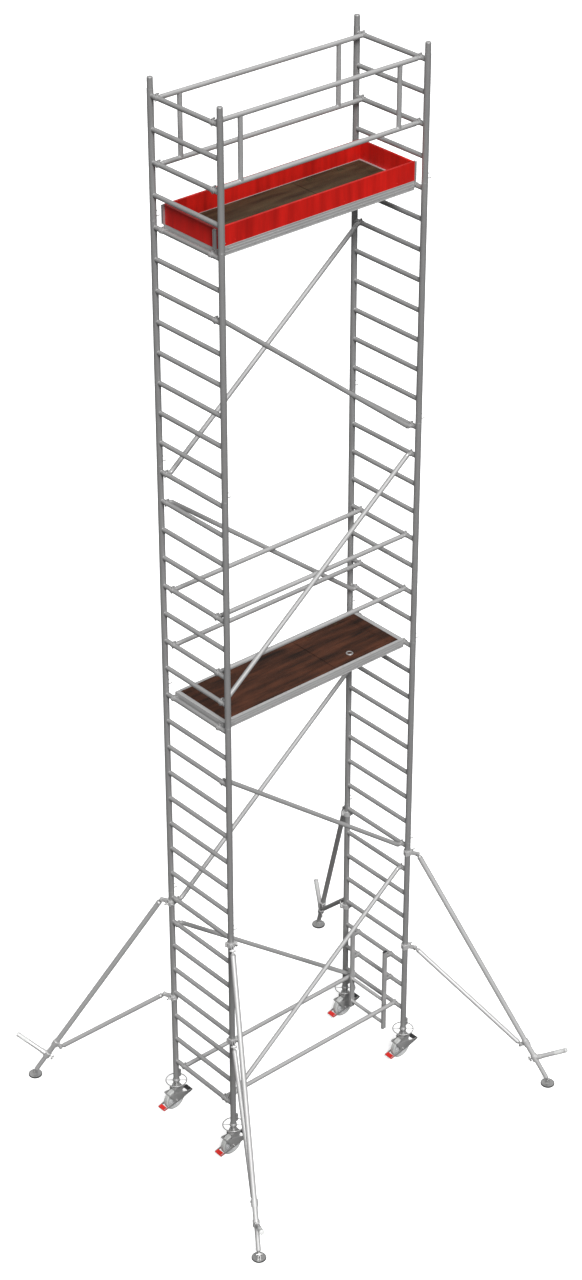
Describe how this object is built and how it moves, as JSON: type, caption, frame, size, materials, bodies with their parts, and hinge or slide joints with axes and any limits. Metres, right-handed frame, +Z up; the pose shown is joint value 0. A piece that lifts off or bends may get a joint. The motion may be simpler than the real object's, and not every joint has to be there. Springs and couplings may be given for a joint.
{
  "type": "mobile scaffold tower with planked decks",
  "caption": "Aluminium rolling scaffold tower: rung end frames, diagonal braces, planked decks with trapdoors, red toe boards, guardrails, adjustable castors and outriggers.",
  "frame": {"origin": "centre of the footprint, on the ground", "axes": "+Z up, X along the decks, -Y is the front"},
  "size_m": [3.5122, 3.3204, 9.39],
  "materials": {
    "aluminium_tube": "mill, lightly brushed",
    "aluminium_cast": "as cast",
    "zinc_steel": "bright zinc",
    "brown_plywood": "coated, anti-slip",
    "olive_plywood": "coated, anti-slip",
    "red_board": "painted, satin",
    "pale_tyre": "moulded"
  },
  "bodies": {
    "tower": {"end_frames_lift_1": "aluminium_tube", "end_frames_lift_2": "aluminium_tube", "end_frames_lift_3": "aluminium_tube", "end_frames_lift_4": "aluminium_tube", "end_frames_lift_5": "aluminium_tube", "frame_spigots": "aluminium_cast", "spring_clips": "zinc_steel", "front_diagonals": "aluminium_tube", "rear_diagonals": "aluminium_tube", "base_struts": "aluminium_tube", "mid_guard_rails": "aluminium_tube", "guard_frame_front": "aluminium_tube", "guard_frame_rear": "aluminium_tube", "brace_claws": "aluminium_cast", "mid_platform_beams": "aluminium_tube", "mid_platform_deck": "brown_plywood", "mid_platform_hooks": "aluminium_cast", "top_platform_beams": "aluminium_tube", "top_platform_deck": "olive_plywood", "top_platform_hooks": "aluminium_cast", "long_toe_boards": "red_board", "short_toe_boards": "red_board", "toe_board_brackets": "aluminium_tube", "access_ladder": "aluminium_tube", "access_ladder_hooks": "aluminium_cast", "hatch_hinge_pins": "zinc_steel"},
    "mid_hatch": {"mid_hatch": "brown_plywood"},
    "top_hatch": {"top_hatch": "olive_plywood"},
    "jack_front_left": {"castor_spindle_front_left": "zinc_steel"},
    "handwheel_front_left": {"castor_handwheel_front_left": "zinc_steel"},
    "fork_front_left": {"castor_fork_front_left": "zinc_steel"},
    "wheel_front_left": {"castor_wheel_front_left": "pale_tyre"},
    "brake_front_left": {"castor_brake_front_left": "zinc_steel"},
    "outrigger_front_left": {"outrigger_arm_front_left": "aluminium_tube"},
    "leg_front_left": {"outrigger_leg_front_left": "aluminium_tube"},
    "foot_front_left": {"outrigger_foot_front_left": "zinc_steel"},
    "jack_rear_left": {"castor_spindle_rear_left": "zinc_steel"},
    "handwheel_rear_left": {"castor_handwheel_rear_left": "zinc_steel"},
    "fork_rear_left": {"castor_fork_rear_left": "zinc_steel"},
    "wheel_rear_left": {"castor_wheel_rear_left": "pale_tyre"},
    "brake_rear_left": {"castor_brake_rear_left": "zinc_steel"},
    "outrigger_rear_left": {"outrigger_arm_rear_left": "aluminium_tube"},
    "leg_rear_left": {"outrigger_leg_rear_left": "aluminium_tube"},
    "foot_rear_left": {"outrigger_foot_rear_left": "zinc_steel"},
    "jack_front_right": {"castor_spindle_front_right": "zinc_steel"},
    "handwheel_front_right": {"castor_handwheel_front_right": "zinc_steel"},
    "fork_front_right": {"castor_fork_front_right": "zinc_steel"},
    "wheel_front_right": {"castor_wheel_front_right": "pale_tyre"},
    "brake_front_right": {"castor_brake_front_right": "zinc_steel"},
    "outrigger_front_right": {"outrigger_arm_front_right": "aluminium_tube"},
    "leg_front_right": {"outrigger_leg_front_right": "aluminium_tube"},
    "foot_front_right": {"outrigger_foot_front_right": "zinc_steel"},
    "jack_rear_right": {"castor_spindle_rear_right": "zinc_steel"},
    "handwheel_rear_right": {"castor_handwheel_rear_right": "zinc_steel"},
    "fork_rear_right": {"castor_fork_rear_right": "zinc_steel"},
    "wheel_rear_right": {"castor_wheel_rear_right": "pale_tyre"},
    "brake_rear_right": {"castor_brake_rear_right": "zinc_steel"},
    "outrigger_rear_right": {"outrigger_arm_rear_right": "aluminium_tube"},
    "leg_rear_right": {"outrigger_leg_rear_right": "aluminium_tube"},
    "foot_rear_right": {"outrigger_foot_rear_right": "zinc_steel"}
  },
  "joints": [
    {"name": "mid_hatch_hinge", "type": "hinge", "parent": "tower", "child": "mid_hatch", "pos_m": [0.54, 0.2335, 4.307], "axis": [-1, 0, 0], "range_deg": [0, 90]},
    {"name": "top_hatch_hinge", "type": "hinge", "parent": "tower", "child": "top_hatch", "pos_m": [0.54, 0.2335, 8.307], "axis": [-1, 0, 0], "range_deg": [0, 90]},
    {"name": "jack_height_front_left", "type": "slide", "parent": "tower", "child": "jack_front_left", "axis": [0, 0, -1], "range_m": [0, 0.2]},
    {"name": "handwheel_turn_front_left", "type": "hinge", "parent": "tower", "child": "handwheel_front_left", "pos_m": [-0.98, -0.385, 0.29], "axis": [0, 0, 1], "range_deg": [0, 9010]},
    {"name": "castor_swivel_front_left", "type": "hinge", "parent": "jack_front_left", "child": "fork_front_left", "pos_m": [-0.98, -0.385, 0.226], "axis": [0, 0, 1], "continuous": true},
    {"name": "wheel_roll_front_left", "type": "hinge", "parent": "fork_front_left", "child": "wheel_front_left", "pos_m": [-1.01, -0.385, 0.1], "axis": [0, 1, 0], "continuous": true},
    {"name": "brake_rocker_front_left", "type": "hinge", "parent": "fork_front_left", "child": "brake_front_left", "pos_m": [-1.01, -0.385, 0.1], "axis": [0, 1, 0], "range_deg": [0, 16]},
    {"name": "outrigger_swing_front_left", "type": "hinge", "parent": "tower", "child": "outrigger_front_left", "pos_m": [-0.98, -0.385, 1.206], "axis": [0, 0, 1], "range_deg": [-55, 30]},
    {"name": "leg_slide_front_left", "type": "slide", "parent": "outrigger_front_left", "child": "leg_front_left", "axis": [-0.2558, -0.4256, -0.868], "range_m": [-0.15, 0.25]},
    {"name": "foot_tilt_front_left", "type": "hinge", "parent": "leg_front_left", "child": "foot_front_left", "pos_m": [-1.665, -1.52503, 0.042], "axis": [0.8572, -0.515, 0], "range_deg": [-20, 20]},
    {"name": "jack_height_rear_left", "type": "slide", "parent": "tower", "child": "jack_rear_left", "axis": [0, 0, -1], "range_m": [0, 0.2]},
    {"name": "handwheel_turn_rear_left", "type": "hinge", "parent": "tower", "child": "handwheel_rear_left", "pos_m": [-0.98, 0.385, 0.29], "axis": [0, 0, 1], "range_deg": [0, 9010]},
    {"name": "castor_swivel_rear_left", "type": "hinge", "parent": "jack_rear_left", "child": "fork_rear_left", "pos_m": [-0.98, 0.385, 0.226], "axis": [0, 0, 1], "continuous": true},
    {"name": "wheel_roll_rear_left", "type": "hinge", "parent": "fork_rear_left", "child": "wheel_rear_left", "pos_m": [-1.01, 0.385, 0.1], "axis": [0, 1, 0], "continuous": true},
    {"name": "brake_rocker_rear_left", "type": "hinge", "parent": "fork_rear_left", "child": "brake_rear_left", "pos_m": [-1.01, 0.385, 0.1], "axis": [0, 1, 0], "range_deg": [0, 16]},
    {"name": "outrigger_swing_rear_left", "type": "hinge", "parent": "tower", "child": "outrigger_rear_left", "pos_m": [-0.98, 0.385, 1.206], "axis": [0, 0, -1], "range_deg": [-55, 30]},
    {"name": "leg_slide_rear_left", "type": "slide", "parent": "outrigger_rear_left", "child": "leg_rear_left", "axis": [-0.2558, 0.4256, -0.868], "range_m": [-0.15, 0.25]},
    {"name": "foot_tilt_rear_left", "type": "hinge", "parent": "leg_rear_left", "child": "foot_rear_left", "pos_m": [-1.665, 1.52503, 0.042], "axis": [-0.8572, -0.515, 0], "range_deg": [-20, 20]},
    {"name": "jack_height_front_right", "type": "slide", "parent": "tower", "child": "jack_front_right", "axis": [0, 0, -1], "range_m": [0, 0.2]},
    {"name": "handwheel_turn_front_right", "type": "hinge", "parent": "tower", "child": "handwheel_front_right", "pos_m": [0.98, -0.385, 0.29], "axis": [0, 0, 1], "range_deg": [0, 9010]},
    {"name": "castor_swivel_front_right", "type": "hinge", "parent": "jack_front_right", "child": "fork_front_right", "pos_m": [0.98, -0.385, 0.226], "axis": [0, 0, 1], "continuous": true},
    {"name": "wheel_roll_front_right", "type": "hinge", "parent": "fork_front_right", "child": "wheel_front_right", "pos_m": [0.95, -0.385, 0.1], "axis": [0, 1, 0], "continuous": true},
    {"name": "brake_rocker_front_right", "type": "hinge", "parent": "fork_front_right", "child": "brake_front_right", "pos_m": [0.95, -0.385, 0.1], "axis": [0, 1, 0], "range_deg": [0, 16]},
    {"name": "outrigger_swing_front_right", "type": "hinge", "parent": "tower", "child": "outrigger_front_right", "pos_m": [0.98, -0.385, 1.206], "axis": [0, 0, -1], "range_deg": [-55, 30]},
    {"name": "leg_slide_front_right", "type": "slide", "parent": "outrigger_front_right", "child": "leg_front_right", "axis": [0.2558, -0.4256, -0.868], "range_m": [-0.15, 0.25]},
    {"name": "foot_tilt_front_right", "type": "hinge", "parent": "leg_front_right", "child": "foot_front_right", "pos_m": [1.665, -1.52503, 0.042], "axis": [0.8572, 0.515, 0], "range_deg": [-20, 20]},
    {"name": "jack_height_rear_right", "type": "slide", "parent": "tower", "child": "jack_rear_right", "axis": [0, 0, -1], "range_m": [0, 0.2]},
    {"name": "handwheel_turn_rear_right", "type": "hinge", "parent": "tower", "child": "handwheel_rear_right", "pos_m": [0.98, 0.385, 0.29], "axis": [0, 0, 1], "range_deg": [0, 9010]},
    {"name": "castor_swivel_rear_right", "type": "hinge", "parent": "jack_rear_right", "child": "fork_rear_right", "pos_m": [0.98, 0.385, 0.226], "axis": [0, 0, 1], "continuous": true},
    {"name": "wheel_roll_rear_right", "type": "hinge", "parent": "fork_rear_right", "child": "wheel_rear_right", "pos_m": [0.95, 0.385, 0.1], "axis": [0, 1, 0], "continuous": true},
    {"name": "brake_rocker_rear_right", "type": "hinge", "parent": "fork_rear_right", "child": "brake_rear_right", "pos_m": [0.95, 0.385, 0.1], "axis": [0, 1, 0], "range_deg": [0, 16]},
    {"name": "outrigger_swing_rear_right", "type": "hinge", "parent": "tower", "child": "outrigger_rear_right", "pos_m": [0.98, 0.385, 1.206], "axis": [0, 0, 1], "range_deg": [-55, 30]},
    {"name": "leg_slide_rear_right", "type": "slide", "parent": "outrigger_rear_right", "child": "leg_rear_right", "axis": [0.2558, 0.4256, -0.868], "range_m": [-0.15, 0.25]},
    {"name": "foot_tilt_rear_right", "type": "hinge", "parent": "leg_rear_right", "child": "foot_rear_right", "pos_m": [1.665, 1.52503, 0.042], "axis": [-0.8572, 0.515, 0], "range_deg": [-20, 20]}
  ],
  "couplings": [
    {"joint": "handwheel_turn_front_left", "follows": "jack_height_front_left", "rad_per_m": 785.4},
    {"joint": "handwheel_turn_rear_left", "follows": "jack_height_rear_left", "rad_per_m": 785.4},
    {"joint": "handwheel_turn_front_right", "follows": "jack_height_front_right", "rad_per_m": 785.4},
    {"joint": "handwheel_turn_rear_right", "follows": "jack_height_rear_right", "rad_per_m": 785.4}
  ]
}
